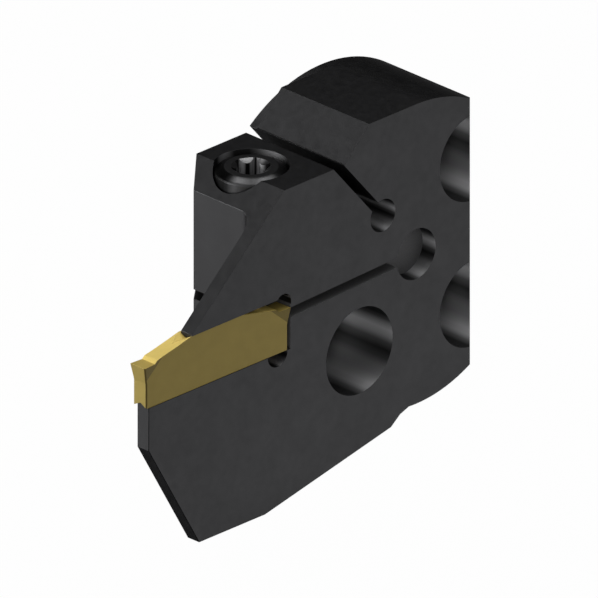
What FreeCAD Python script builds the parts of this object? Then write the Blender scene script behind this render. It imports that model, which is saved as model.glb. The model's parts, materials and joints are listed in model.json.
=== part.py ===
import FreeCAD, Part
import os
import Sketcher

# A grooving cutter head: a steel body with a round coupling, a thin blade, a clamp finger, a two-edged
# insert and the screw that pulls the finger down on it.
#
# Frame: the origin is on the coupling's axis, in the plane of its face. +Y points out of that face
# towards the bar that carries the head, so the near flat face lies at Y = -head_depth.
# -X points to the cutting edge, +Z is up, and the cutting edge is level with the coupling's axis.

# Driving dimensions in millimetres and degrees: alias, value, what it measures.
SIZES = [
    ("coupling_diameter", 32.0, "round coupling, across"),
    ("head_depth", 13.0, "near flat face to coupling face"),
    ("coupling_step", 1.0, "coupling disc, proud of the plate's back"),
    ("centre_bore_diameter", 4.0, "blind bore in the coupling's centre"),
    ("centre_bore_depth", 8.0, "its depth from the coupling face"),
    ("recess_diameter", 5.3, "round recess in the near face"),
    ("recess_depth", 1.75, "its depth"),
    ("bolt_spacing", 15.56, "bolt hole to bolt hole along X and along Z"),
    ("bolt_hole_diameter", 5.5, "clearance hole for the fastening bolts"),
    ("counterbore_diameter", 9.1, "seat for a bolt head"),
    ("counterbore_depth", 9.2, "its depth from the near face"),
    ("bevel_start", 7.35, "where the 45 degree corner bevel leaves the near face, from the axis"),
    ("arm_front", 6.45, "front end of the arm's flat top, from the axis"),
    ("finger_drop", 3.26, "finger's top face, below the arm's top"),
    ("boss_top_front", 18.08, "front edge of the finger's top face, from the axis"),
    ("boss_front", 20.68, "front face of the thick part, from the axis"),
    ("boss_chamfer_depth", 2.2, "bevel on the thick part's back corner, along Y"),
    ("slope_angle", 42.0, "slope of the finger's top down to its tip"),
    ("finger_tip", 30.65, "blunt tip of the finger, from the axis"),
    ("blade_thickness", 1.55, "blade, flush with the near face"),
    ("blade_root_radius", 1.69, "fillet from the blade's back to the thick part"),
    ("blade_front", 36.6, "blade's front edge below the insert, from the axis"),
    ("blade_front_foot", 9.0, "lower end of that edge, below the cutting edge"),
    ("blade_toe", 29.7, "lower front corner of the blade, from the axis"),
    ("blade_bottom", 21.0, "blade's lower edge, below the axis"),
    ("heel_reach", 3.45, "rear end of the sloping lower edge, from the axis"),
    ("heel_drop", 1.36, "its height below the coupling's rim"),
    ("heel_step_reach", 2.2, "rear end of the small step, from the axis"),
    ("heel_step_drop", 0.4, "its height below the coupling's rim"),
    ("relief_hole_reach", 4.55, "upper slot's relief hole, ahead of the axis"),
    ("relief_hole_height", 5.62, "its height above the axis"),
    ("relief_hole_diameter", 3.4, "its diameter"),
    ("upper_slot_width", 1.07, "slot between the arm and the finger"),
    ("upper_slot_angle", 49.7, "its slope"),
    ("lower_slot_width", 1.03, "slot between the finger and the seat side"),
    ("lower_slot_angle", 1.9, "its fall towards the insert, on a line through the axis"),
    ("slot_into_recess", 0.15, "how far the lower slot runs into the near recess"),
    ("insert_reach", 37.25, "front cutting edge, from the axis"),
    ("insert_length", 20.0, "cutting edge to cutting edge"),
    ("insert_middle", 0.9, "middle of the insert's width, behind the near face"),
    ("insert_width", 2.0, "width of cut"),
    ("insert_body_width", 1.7, "insert between its two heads"),
    ("insert_body_top", 1.3, "clamped top, above the cutting edge"),
    ("insert_body_drop", 4.45, "underside, below the cutting edge"),
    ("insert_vee_depth", 0.45, "locating vee along the top and the underside"),
    ("relief_drop", 1.8, "height of the ground reliefs below the cutting edge"),
    ("end_relief_run", 0.37, "ground relief of both end faces"),
    ("side_relief_run", 2.1, "length of the ground side relief"),
    ("land_length", 1.5, "flat behind the cutting edge"),
    ("ramp_foot_run", 1.85, "chip former: end of the steep ramp, from the edge"),
    ("ramp_foot_rise", 0.3, "its height"),
    ("ramp_middle_run", 4.6, "chip former: middle of the long ramp, from the edge"),
    ("ramp_middle_rise", 0.87, "its height"),
    ("ramp_top_run", 5.6, "chip former: end of the long ramp, from the edge"),
    ("ramp_top_rise", 1.1, "its height"),
    ("clamped_top_start", 6.45, "start of the clamped top, from the edge"),
    ("pocket_depth", 2.1, "insert pocket, from the near face"),
    ("pocket_end_gap", 0.04, "insert's rear edge to the pocket's end wall"),
    ("pocket_top_relief_diameter", 2.1, "round relief at the pocket's upper rear corner"),
    ("pocket_top_relief_height", 0.65, "its centre, above the cutting edge"),
    ("pocket_top_relief_inset", 0.95, "its centre, ahead of the pocket's end wall"),
    ("pocket_low_relief_diameter", 2.7, "round relief at the pocket's lower rear corner, level with the seat"),
    ("pocket_low_relief_inset", 1.74, "its centre, ahead of the pocket's end wall"),
    ("screw_reach", 16.19, "clamp screw's axis, ahead of the coupling's axis"),
    ("screw_inset", 6.38, "clamp screw's axis, behind the near face"),
    ("screw_head_diameter", 7.2, "screw head"),
    ("screw_head_height", 4.0, "screw head"),
    ("screw_head_flat", 5.5, "flat on top of the head, inside its sloping rim"),
    ("screw_rim_drop", 0.45, "height of that rim"),
    ("screw_head_gap", 0.15, "radial gap round the head"),
    ("screw_head_sink", 0.1, "head's top, below the finger's top"),
    ("screw_diameter", 4.0, "screw's shank"),
    ("screw_length", 16.0, "shank, under the head"),
    ("screw_tip_chamfer", 0.5, "chamfer on the shank's end"),
    ("screw_hole_gap", 0.25, "radial gap in the finger's hole"),
    ("tapped_hole_gap", 0.02, "radial gap in the tapped hole"),
    ("tapped_hole_depth", 9.0, "tapped hole, below the middle of the lower slot"),
    ("socket_across", 3.95, "six-lobe socket, across its lobes"),
    ("socket_inner", 2.85, "six-lobe socket, across its flutes"),
    ("socket_flute_radius", 0.8, "radius of the six ribs between the lobes"),
    ("socket_depth", 2.2, "six-lobe socket"),
    ("socket_lead", 0.35, "conical lead at the socket's mouth, across the ribs"),
]

# How far a cutting outline runs past the surface that it opens.
CLEAR = "3"

# Two points nearer than this are the same point, and a smaller cut is no cut.
TOLERANCE = 0.001

# Expressions shared by pieces that fit together.
RADIUS = "(Sizes.coupling_diameter / 2)"
FINGER_TOP = "(" + RADIUS + " - Sizes.finger_drop)"
NEAR_FACE = "(-Sizes.head_depth)"
PLATE_BACK = "(-Sizes.coupling_step)"
INSERT_MIDDLE = "(" + NEAR_FACE + " + Sizes.insert_middle)"
POCKET_END = "(Sizes.insert_length - Sizes.insert_reach + Sizes.pocket_end_gap)"
SEAT = "(-Sizes.insert_body_drop)"
SEAT_CREST = "(Sizes.insert_vee_depth - Sizes.insert_body_drop)"
CLAMP = "Sizes.insert_body_top"
CLAMP_CREST = "(Sizes.insert_body_top - Sizes.insert_vee_depth)"
HALF_BODY = "Sizes.insert_body_width / 2"
SCREW_SEAT = "(" + FINGER_TOP + " - Sizes.screw_head_sink - Sizes.screw_head_height)"
SLOT_AT_SCREW = "(-Sizes.screw_reach * tan(Sizes.lower_slot_angle))"


def make_sheet(doc):
    """The spreadsheet with every driving dimension."""
    sheet = doc.addObject("Spreadsheet::Sheet", "Sizes")
    for row, (alias, value, meaning) in enumerate(SIZES, start=1):
        sheet.set("A%d" % row, meaning)
        sheet.set("B%d" % row, str(value))
        sheet.setAlias("B%d" % row, alias)
    doc.recompute()
    return sheet


def origin_plane(body, role):
    """One of the body's own origin planes or axes."""
    return [item for item in body.Origin.OriginFeatures if item.Role == role][0]


def new_sketch(body, name, role, offset="0"):
    """An empty sketch on an origin plane, moved along that plane's normal."""
    sketch = body.newObject("Sketcher::SketchObject", name)
    sketch.AttachmentSupport = [(origin_plane(body, role), "")]
    sketch.MapMode = "FlatFace"
    sketch.setExpression("AttachmentOffset.Base.z", offset)
    return sketch


def number(sketch, expression):
    """The present value of an expression."""
    return float(sketch.evalExpression(expression))


def pin_point(sketch, geometry, place, across, up):
    """Fix a point of the sketch at two expressions."""
    for kind, expression in (("DistanceX", across), ("DistanceY", up)):
        constraint = Sketcher.Constraint(kind, -1, 1, geometry, place, number(sketch, expression))
        index = sketch.addConstraint(constraint)
        sketch.setExpression("Constraints[%d]" % index, expression)


def add_outline(sketch, points):
    """A closed outline of straight lines through points given as pairs of expressions."""
    places = [FreeCAD.Vector(number(sketch, across), number(sketch, up), 0) for across, up in points]
    first = sketch.GeometryCount
    count = len(points)
    for index in range(count):
        line = Part.LineSegment(places[index], places[(index + 1) % count])
        sketch.addGeometry(line, False)
    for index in range(count):
        following = first + (index + 1) % count
        sketch.addConstraint(Sketcher.Constraint("Coincident", first + index, 2, following, 1))
        pin_point(sketch, first + index, 1, points[index][0], points[index][1])


def add_circle(sketch, across, up, radius):
    """A circle whose centre and radius are expressions."""
    centre = FreeCAD.Vector(number(sketch, across), number(sketch, up), 0)
    circle = Part.Circle(centre, FreeCAD.Vector(0, 0, 1), number(sketch, radius))
    geometry = sketch.addGeometry(circle, False)
    pin_point(sketch, geometry, 3, across, up)
    index = sketch.addConstraint(Sketcher.Constraint("Radius", geometry, number(sketch, radius)))
    sketch.setExpression("Constraints[%d]" % index, radius)


def add_feature(body, kind, name, sketch):
    """A pad, pocket or revolution of a sketch."""
    feature = body.newObject("PartDesign::" + kind, name)
    feature.Profile = sketch
    feature.Refine = True
    return feature


def pad(body, name, sketch, length, symmetric=False):
    """Material added along the sketch's normal."""
    feature = add_feature(body, "Pad", name, sketch)
    feature.setExpression("Length", length)
    if symmetric:
        feature.SideType = "Symmetric"
    body.Document.recompute()
    return feature


def pocket(body, name, sketch, length, reversed_way=False):
    """Material cut away against the sketch's normal, or along it if reversed_way is set."""
    feature = add_feature(body, "Pocket", name, sketch)
    feature.setExpression("Length", length)
    feature.Reversed = reversed_way
    body.Document.recompute()
    return feature


def pocket_through(body, name, sketch):
    """Material cut away both ways, right through."""
    feature = add_feature(body, "Pocket", name, sketch)
    feature.SideType = "Symmetric"
    feature.Type = "ThroughAll"
    body.Document.recompute()
    return feature


def make_head_body(doc):
    """Coupling, thick plate, blade and clamp finger: one piece of steel."""
    body = doc.addObject("PartDesign::Body", "head_body")
    body.Label = "head_body"
    add_coupling_disc(body)
    add_plate(body)
    add_blade(body)
    round_blade_root(body)
    cut_corner_bevels(body)
    cut_insert_pocket(body)
    cut_slots(body)
    cut_finger_clearance(body)
    cut_fastening_holes(body)
    cut_clamp_screw_hole(body)
    return body


def add_coupling_disc(body):
    """The round coupling, through the head's whole depth."""
    sketch = new_sketch(body, "coupling_outline", "XZ_Plane")
    add_circle(sketch, "0", "0", RADIUS)
    pad(body, "coupling_disc", sketch, "Sizes.head_depth")


def add_plate(body):
    """The thick plate: arm, finger root and everything behind the front face of the boss."""
    boss_slope_end = ("(" + FINGER_TOP + " - (Sizes.boss_front - Sizes.boss_top_front)"
                      " * tan(Sizes.slope_angle))")
    sketch = new_sketch(body, "plate_outline", "XZ_Plane", "Sizes.coupling_step")
    add_outline(sketch, [
        ("0", RADIUS),
        ("-Sizes.arm_front", RADIUS),
        ("-Sizes.arm_front - Sizes.finger_drop", FINGER_TOP),
        ("-Sizes.boss_top_front", FINGER_TOP),
        ("-Sizes.boss_front", boss_slope_end),
        ("-Sizes.boss_front", "-Sizes.blade_bottom"),
        ("-Sizes.heel_reach", "-" + RADIUS + " - Sizes.heel_drop"),
        ("-Sizes.heel_step_reach", "-" + RADIUS + " - Sizes.heel_step_drop"),
        ("0", "-" + RADIUS + " + Sizes.heel_step_drop"),
    ])
    pad(body, "plate", sketch, "Sizes.head_depth - Sizes.coupling_step")


def add_blade(body):
    """The thin blade, flush with the near face, with the finger's tip still part of it."""
    tip_height = ("(" + FINGER_TOP + " - (Sizes.finger_tip - Sizes.boss_top_front)"
                  " * tan(Sizes.slope_angle))")
    root = "-Sizes.boss_top_front"
    sketch = new_sketch(body, "blade_outline", "XZ_Plane", "Sizes.head_depth - Sizes.blade_thickness")
    add_outline(sketch, [
        (root, FINGER_TOP),
        ("-Sizes.finger_tip", tip_height),
        ("-Sizes.finger_tip", "0"),
        ("-Sizes.blade_front", "0"),
        ("-Sizes.blade_front", "-Sizes.blade_front_foot"),
        ("-Sizes.blade_toe", "-Sizes.blade_bottom"),
        ("-Sizes.boss_front", "-Sizes.blade_bottom"),
        (root, "0"),
    ])
    pad(body, "blade", sketch, "Sizes.blade_thickness")


def round_blade_root(body):
    """The fillet in the inner corner between the blade's back and the front face of the boss."""
    solid = body.Tip.Shape
    corner_x = -body.evalExpression("Sizes.boss_front")
    corner_y = body.evalExpression("Sizes.blade_thickness - Sizes.head_depth")
    names = []
    for index, edge in enumerate(solid.Edges, start=1):
        ends = [vertex.Point for vertex in edge.Vertexes]
        if all(abs(end.x - corner_x) < TOLERANCE and abs(end.y - corner_y) < TOLERANCE for end in ends):
            names.append("Edge%d" % index)
    fillet = body.newObject("PartDesign::Fillet", "blade_root")
    fillet.Base = (body.Group[-2], names)
    fillet.setExpression("Radius", "Sizes.blade_root_radius")
    body.Document.recompute()


def cut_corner_bevels(body):
    """The large 45 degree bevel beside the bolts, and the one on the thick part's back corner."""
    sketch = new_sketch(body, "bolt_side_bevel_outline", "XY_Plane")
    outside = RADIUS + " + " + CLEAR
    add_outline(sketch, [
        ("Sizes.bevel_start", NEAR_FACE),
        (outside, NEAR_FACE + " + " + outside + " - Sizes.bevel_start"),
        (outside, NEAR_FACE + " - " + CLEAR),
        ("Sizes.bevel_start", NEAR_FACE + " - " + CLEAR),
    ])
    pocket_through(body, "bolt_side_bevel", sketch)

    sketch = new_sketch(body, "back_corner_bevel_outline", "XY_Plane")
    beyond = "-Sizes.boss_front - " + CLEAR
    add_outline(sketch, [
        ("-Sizes.boss_top_front", PLATE_BACK),
        ("-Sizes.boss_front", PLATE_BACK + " - Sizes.boss_chamfer_depth"),
        (beyond, PLATE_BACK + " - Sizes.boss_chamfer_depth"),
        (beyond, PLATE_BACK + " + " + CLEAR),
        ("-Sizes.boss_top_front", PLATE_BACK + " + " + CLEAR),
    ])
    pocket_through(body, "back_corner_bevel", sketch)


def cut_insert_pocket(body):
    """The seat: a vee ridge below, a vee ridge on the finger's underside, and an end wall."""
    sketch = new_sketch(body, "pocket_section", "YZ_Plane", POCKET_END)
    front = NEAR_FACE + " - " + CLEAR
    back = NEAR_FACE + " + Sizes.pocket_depth"
    add_outline(sketch, [
        (front, SEAT),
        (INSERT_MIDDLE + " - " + HALF_BODY, SEAT),
        (INSERT_MIDDLE, SEAT_CREST),
        (INSERT_MIDDLE + " + " + HALF_BODY, SEAT),
        (back, SEAT),
        (back, CLAMP),
        (INSERT_MIDDLE + " + " + HALF_BODY, CLAMP),
        (INSERT_MIDDLE, CLAMP_CREST),
        (INSERT_MIDDLE + " - " + HALF_BODY, CLAMP),
        (front, CLAMP),
    ])
    pocket(body, "insert_pocket", sketch, "Sizes.insert_length + Sizes.boss_front")

    sketch = new_sketch(body, "pocket_relief_outline", "XZ_Plane", "Sizes.head_depth")
    add_circle(sketch, POCKET_END + " - Sizes.pocket_top_relief_inset", "Sizes.pocket_top_relief_height",
               "Sizes.pocket_top_relief_diameter / 2")
    add_circle(sketch, POCKET_END + " - Sizes.pocket_low_relief_inset", SEAT,
               "Sizes.pocket_low_relief_diameter / 2")
    pocket(body, "pocket_reliefs", sketch, "Sizes.pocket_depth")


def cut_slots(body):
    """The two slots that free the clamp finger, and the relief hole where the upper one ends."""
    start = "(Sizes.recess_diameter / 2 - Sizes.slot_into_recess)"
    end = "(Sizes.boss_front + Sizes.blade_root_radius + " + CLEAR + ")"
    half = "Sizes.lower_slot_width / 2 / cos(Sizes.lower_slot_angle)"
    fall = " * tan(Sizes.lower_slot_angle)"
    sketch = new_sketch(body, "lower_slot_outline", "XZ_Plane", "Sizes.head_depth / 2")
    add_outline(sketch, [
        ("-" + start, "-" + start + fall + " + " + half),
        ("-" + end, "-" + end + fall + " + " + half),
        ("-" + end, "-" + end + fall + " - " + half),
        ("-" + start, "-" + start + fall + " - " + half),
    ])
    pocket_through(body, "lower_slot", sketch)

    # The upper slot's outline starts at the relief hole's centre and runs out past the finger's top.
    run = "((" + FINGER_TOP + " - Sizes.relief_hole_height) / sin(Sizes.upper_slot_angle) + " + CLEAR + ")"
    side_x = "Sizes.upper_slot_width / 2 * sin(Sizes.upper_slot_angle)"
    side_z = "Sizes.upper_slot_width / 2 * cos(Sizes.upper_slot_angle)"
    run_x = " - " + run + " * cos(Sizes.upper_slot_angle)"
    run_z = " + " + run + " * sin(Sizes.upper_slot_angle)"
    hole_x = "-Sizes.relief_hole_reach"
    hole_z = "Sizes.relief_hole_height"
    sketch = new_sketch(body, "upper_slot_outline", "XZ_Plane", "Sizes.head_depth / 2")
    add_outline(sketch, [
        (hole_x + " + " + side_x, hole_z + " + " + side_z),
        (hole_x + " + " + side_x + run_x, hole_z + " + " + side_z + run_z),
        (hole_x + " - " + side_x + run_x, hole_z + " - " + side_z + run_z),
        (hole_x + " - " + side_x, hole_z + " - " + side_z),
    ])
    pocket_through(body, "upper_slot", sketch)

    sketch = new_sketch(body, "relief_hole_outline", "XZ_Plane", "Sizes.head_depth / 2")
    add_circle(sketch, hole_x, hole_z, "Sizes.relief_hole_diameter / 2")
    pocket_through(body, "relief_hole", sketch)


def cut_finger_clearance(body):
    """The finger stops short of the coupling plane, so that it stays free to bend."""
    sketch = new_sketch(body, "finger_clearance_outline", "XZ_Plane")
    slot_fall = "-" + RADIUS + " * tan(Sizes.lower_slot_angle)"
    add_outline(sketch, [
        ("-Sizes.recess_diameter / 2", "0"),
        ("-" + RADIUS + " - " + CLEAR, slot_fall),
        ("-" + RADIUS + " - " + CLEAR, RADIUS),
        ("-Sizes.relief_hole_reach - (" + RADIUS + " - Sizes.relief_hole_height) / tan(Sizes.upper_slot_angle)",
         RADIUS),
        ("-Sizes.relief_hole_reach", "Sizes.relief_hole_height"),
    ])
    pocket(body, "finger_clearance", sketch, "Sizes.coupling_step", reversed_way=True)


def cut_fastening_holes(body):
    """Three counterbored bolt holes, the near recess and the blind centre bore."""
    side = "Sizes.bolt_spacing / 2"
    corners = [("-" + side, "-" + side), (side, "-" + side), (side, side)]
    through = new_sketch(body, "bolt_hole_outline", "XZ_Plane", "Sizes.head_depth / 2")
    counterbores = new_sketch(body, "counterbore_outline", "XZ_Plane", "Sizes.head_depth")
    for across, up in corners:
        add_circle(through, across, up, "Sizes.bolt_hole_diameter / 2")
        add_circle(counterbores, across, up, "Sizes.counterbore_diameter / 2")
    pocket_through(body, "bolt_holes", through)
    pocket(body, "counterbores", counterbores, "Sizes.counterbore_depth")

    recess = new_sketch(body, "recess_outline", "XZ_Plane", "Sizes.head_depth")
    add_circle(recess, "0", "0", "Sizes.recess_diameter / 2")
    pocket(body, "near_recess", recess, "Sizes.recess_depth")

    bore = new_sketch(body, "centre_bore_outline", "XZ_Plane")
    add_circle(bore, "0", "0", "Sizes.centre_bore_diameter / 2")
    pocket(body, "centre_bore", bore, "Sizes.centre_bore_depth", reversed_way=True)


def cut_clamp_screw_hole(body):
    """Counterbore and clearance hole in the finger, tapped hole in the body below the slot."""
    across = "-Sizes.screw_reach"
    up = NEAR_FACE + " + Sizes.screw_inset"
    head = new_sketch(body, "screw_head_outline", "XY_Plane", SCREW_SEAT)
    add_circle(head, across, up, "Sizes.screw_head_diameter / 2 + Sizes.screw_head_gap")
    pocket(body, "screw_head_seat", head, "Sizes.screw_head_height + " + CLEAR, reversed_way=True)

    hole = new_sketch(body, "screw_hole_outline", "XY_Plane", SLOT_AT_SCREW)
    add_circle(hole, across, up, "Sizes.screw_diameter / 2 + Sizes.screw_hole_gap")
    pocket(body, "screw_hole", hole, SCREW_SEAT + " - " + SLOT_AT_SCREW + " + " + CLEAR, reversed_way=True)

    tapped = new_sketch(body, "tapped_hole_outline", "XY_Plane", SLOT_AT_SCREW)
    add_circle(tapped, across, up, "Sizes.screw_diameter / 2 + Sizes.tapped_hole_gap")
    pocket(body, "tapped_hole", tapped, "Sizes.tapped_hole_depth")


def make_cutting_insert(doc):
    """The insert, in its own frame: middle of its length and width, level with its cutting edges."""
    body = doc.addObject("PartDesign::Body", "cutting_insert")
    body.Label = "cutting_insert"
    half_length = "Sizes.insert_length / 2"

    blank = new_sketch(body, "blank_outline", "XZ_Plane")
    add_outline(blank, [
        ("-" + half_length, SEAT),
        (half_length, SEAT),
        (half_length, CLAMP),
        ("-" + half_length, CLAMP),
    ])
    pad(body, "blank", blank, "Sizes.insert_body_width", symmetric=True)
    widen_heads(body)
    trim_side_profile(body)

    vees = new_sketch(body, "vee_section", "YZ_Plane")
    for edge, crest, outwards in ((SEAT, SEAT_CREST, " - "), (CLAMP, CLAMP_CREST, " + ")):
        add_outline(vees, [
            ("-" + HALF_BODY, edge),
            ("0", crest),
            (HALF_BODY, edge),
            (HALF_BODY, edge + outwards + CLEAR),
            ("-" + HALF_BODY, edge + outwards + CLEAR),
        ])
    pocket_through(body, "vees", vees)

    body.setExpression("Placement.Base.x", half_length + " - Sizes.insert_reach")
    body.setExpression("Placement.Base.y", INSERT_MIDDLE)
    return body


def widen_heads(body):
    """Both heads flare to the width of cut. The flare's sides are planes that run out on the body."""
    lean = "atan(Sizes.relief_drop / Sizes.side_relief_run)"
    flare = new_sketch(body, "flare_section", "YZ_Plane", "-Sizes.insert_length / 2")
    flare.setExpression("AttachmentOffset.Rotation.Axis.x", "-1")
    flare.setExpression("AttachmentOffset.Rotation.Axis.y", "0")
    flare.setExpression("AttachmentOffset.Rotation.Axis.z", "0")
    flare.setExpression("AttachmentOffset.Rotation.Angle", lean)
    depth = "-Sizes.side_relief_run * sin(" + lean + ")"
    add_outline(flare, [
        ("-Sizes.insert_width / 2", "0"),
        ("-" + HALF_BODY, depth),
        (HALF_BODY, depth),
        ("Sizes.insert_width / 2", "0"),
    ])
    front = pad(body, "front_flare", flare, "2 * (Sizes.side_relief_run + " + CLEAR + ")", symmetric=True)
    rear = body.newObject("PartDesign::Mirrored", "rear_flare")
    rear.Originals = [front]
    rear.MirrorPlane = (origin_plane(body, "YZ_Plane"), [""])
    rear.Refine = True
    body.Tip = rear
    body.Document.recompute()


def trim_side_profile(body):
    """Cut away all that lies outside the insert's side view: end reliefs and chip formers."""
    steps = [
        ("Sizes.end_relief_run", SEAT),
        ("Sizes.end_relief_run", "-Sizes.relief_drop"),
        ("0", "0"),
        ("Sizes.land_length", "0"),
        ("Sizes.ramp_foot_run", "Sizes.ramp_foot_rise"),
        ("Sizes.ramp_middle_run", "Sizes.ramp_middle_rise"),
        ("Sizes.ramp_top_run", "Sizes.ramp_top_rise"),
        ("Sizes.clamped_top_start", CLAMP),
    ]
    half_length = "Sizes.insert_length / 2"
    front = [("-" + half_length + " + " + run, rise) for run, rise in steps]
    rear = [(half_length + " - " + run, rise) for run, rise in reversed(steps)]
    outside = "(Sizes.insert_length + " + CLEAR + ")"
    sketch = new_sketch(body, "side_profile", "XZ_Plane")
    add_outline(sketch, front + rear)
    add_outline(sketch, [
        ("-" + outside, "-" + outside),
        (outside, "-" + outside),
        (outside, outside),
        ("-" + outside, outside),
    ])
    pocket_through(body, "side_trim", sketch)


def make_clamp_screw(doc):
    """The screw, in its own frame: origin on its axis, in the plane under its head."""
    body = doc.addObject("PartDesign::Body", "clamp_screw")
    body.Label = "clamp_screw"
    head_radius = "Sizes.screw_head_diameter / 2"
    shank = "Sizes.screw_diameter / 2"
    section = new_sketch(body, "screw_section", "XZ_Plane")
    add_outline(section, [
        ("0", "Sizes.screw_head_height"),
        (head_radius, "Sizes.screw_head_height"),
        (head_radius, "0"),
        (shank, "0"),
        (shank, "-Sizes.screw_length + Sizes.screw_tip_chamfer"),
        (shank + " - Sizes.screw_tip_chamfer", "-Sizes.screw_length"),
        ("0", "-Sizes.screw_length"),
    ])
    turned = add_feature(body, "Revolution", "turned_blank", section)
    turned.ReferenceAxis = (section, ["V_Axis"])
    turned.Angle = 360
    doc.recompute()

    floor_height = "Sizes.screw_head_height - Sizes.socket_depth"
    socket = new_sketch(body, "socket_outline", "XY_Plane", floor_height)
    add_circle(socket, "0", "0", "Sizes.socket_across / 2")
    pocket(body, "socket", socket, "Sizes.socket_depth", reversed_way=True)

    rib = new_sketch(body, "socket_rib_outline", "XY_Plane", floor_height)
    add_circle(rib, "Sizes.socket_inner / 2 + Sizes.socket_flute_radius", "0", "Sizes.socket_flute_radius")
    first = pad(body, "socket_rib", rib, "Sizes.socket_depth")
    ribs = body.newObject("PartDesign::PolarPattern", "socket_ribs")
    ribs.Originals = [first]
    ribs.Axis = (origin_plane(body, "Z_Axis"), [""])
    ribs.Angle = 360
    ribs.Occurrences = 6
    ribs.Refine = True
    body.Tip = ribs
    doc.recompute()

    # The socket's lead and the head's sloping rim are turned last, across the ribs.
    cones = new_sketch(body, "head_cone_section", "XZ_Plane")
    lead_foot = "Sizes.screw_head_height - Sizes.socket_lead"
    add_outline(cones, [
        ("0", "Sizes.screw_head_height"),
        ("Sizes.socket_across / 2", "Sizes.screw_head_height"),
        ("Sizes.socket_inner / 2", lead_foot),
        ("0", lead_foot),
    ])
    rim_foot = "Sizes.screw_head_height - Sizes.screw_rim_drop"
    add_outline(cones, [
        ("Sizes.screw_head_flat / 2", "Sizes.screw_head_height"),
        (head_radius, rim_foot),
        (head_radius + " + " + CLEAR, rim_foot),
        (head_radius + " + " + CLEAR, "Sizes.screw_head_height"),
    ])
    turned_top = add_feature(body, "Groove", "head_cones", cones)
    turned_top.ReferenceAxis = (cones, ["V_Axis"])
    turned_top.Angle = 360
    doc.recompute()

    body.setExpression("Placement.Base.x", "-Sizes.screw_reach")
    body.setExpression("Placement.Base.y", NEAR_FACE + " + Sizes.screw_inset")
    body.setExpression("Placement.Base.z", SCREW_SEAT)
    return body


def check_document(doc, bodies):
    """Stop if an object failed, a cut removed nothing or a piece isn't one valid solid."""
    for item in doc.Objects:
        if "Invalid" in item.State or "Error" in item.State:
            raise RuntimeError("%s failed: %s" % (item.Name, item.State))
    for body in bodies:
        before = None
        for item in body.Group:
            if not item.isDerivedFrom("PartDesign::Feature"):
                continue
            cuts = item.TypeId in ("PartDesign::Pocket", "PartDesign::Groove")
            if cuts and item.Shape.Volume > before - TOLERANCE:
                raise RuntimeError("%s cut nothing" % item.Name)
            before = item.Shape.Volume
        shape = body.Shape
        if shape.isNull() or not shape.isValid() or len(shape.Solids) != 1:
            raise RuntimeError("%s is not one valid solid" % body.Label)


def main():
    doc = FreeCAD.newDocument("GroovingCutterHead")
    make_sheet(doc)
    bodies = [make_head_body(doc), make_cutting_insert(doc), make_clamp_screw(doc)]
    doc.recompute()
    check_document(doc, bodies)
    os.makedirs("parts", exist_ok=True)
    for body in bodies:
        body.Shape.exportStep("parts/%s.step" % body.Label)
        box = body.Shape.BoundBox
        print("%s: %.1f mm3, X %.2f..%.2f Y %.2f..%.2f Z %.2f..%.2f" % (
            body.Label, body.Shape.Volume, box.XMin, box.XMax, box.YMin, box.YMax, box.ZMin, box.ZMax))


main()
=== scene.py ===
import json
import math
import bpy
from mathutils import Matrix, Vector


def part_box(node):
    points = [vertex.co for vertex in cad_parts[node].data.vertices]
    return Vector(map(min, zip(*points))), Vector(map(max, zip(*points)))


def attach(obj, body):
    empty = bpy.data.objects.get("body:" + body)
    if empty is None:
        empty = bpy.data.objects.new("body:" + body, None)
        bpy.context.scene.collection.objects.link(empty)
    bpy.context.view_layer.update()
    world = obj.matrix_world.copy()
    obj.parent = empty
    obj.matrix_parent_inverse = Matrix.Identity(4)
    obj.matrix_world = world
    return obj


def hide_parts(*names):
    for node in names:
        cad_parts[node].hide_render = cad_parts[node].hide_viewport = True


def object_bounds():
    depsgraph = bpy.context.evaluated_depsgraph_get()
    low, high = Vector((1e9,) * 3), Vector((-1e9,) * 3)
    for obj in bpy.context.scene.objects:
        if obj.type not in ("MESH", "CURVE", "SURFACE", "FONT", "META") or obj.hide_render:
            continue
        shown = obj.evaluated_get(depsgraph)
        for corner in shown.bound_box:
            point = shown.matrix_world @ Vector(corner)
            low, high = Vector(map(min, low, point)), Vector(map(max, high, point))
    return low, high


bl_info = {
    "name": "Grooving cutter head",
    "version": (1, 0, 0),
    "blender": (4, 5, 0),
    "location": "View3D > Sidebar > Cutter head",
    "description": "Dresses a grooving cutter head: blackened steel, coated insert and clamp screw",
    "category": "Object",
}

import bmesh
import bpy
from mathutils import Matrix, Vector

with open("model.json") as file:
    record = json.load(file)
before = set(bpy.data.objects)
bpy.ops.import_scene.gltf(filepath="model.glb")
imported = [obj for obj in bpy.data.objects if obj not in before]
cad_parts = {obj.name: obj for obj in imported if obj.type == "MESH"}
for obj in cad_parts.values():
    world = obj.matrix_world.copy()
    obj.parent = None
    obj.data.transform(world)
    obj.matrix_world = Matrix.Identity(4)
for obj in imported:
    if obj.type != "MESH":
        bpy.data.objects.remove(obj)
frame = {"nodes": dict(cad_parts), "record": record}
CAD_BOX = [list(corner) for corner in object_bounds()]

BODY = "root"
MILLIMETRE = 0.001

# The bolts' counterbores in the near face, and the other round walls there in millimetres:
# x, z and radius of the round recess, of the hole that ends the upper slot and of the round relief
# at the lower rear corner of the insert's pocket. A smaller radius than the limit is a relief.
COUNTERBORE_RADIUS = 4.55 * MILLIMETRE
RECESS_RADIUS = 2.65
NEAR_BORES = ((0.0, 0.0, RECESS_RADIUS), (-4.55, 5.62, 1.7), (-18.95, -4.45, 1.35))
SMALL_BORE_LIMIT = 1.5 * MILLIMETRE

# How far a face's middle may be off a bore's radius, for it to be the bore's wall.
BORE_TOLERANCE = 0.06 * MILLIMETRE
UPRIGHT_BORE_TOLERANCE = 0.08 * MILLIMETRE

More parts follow.
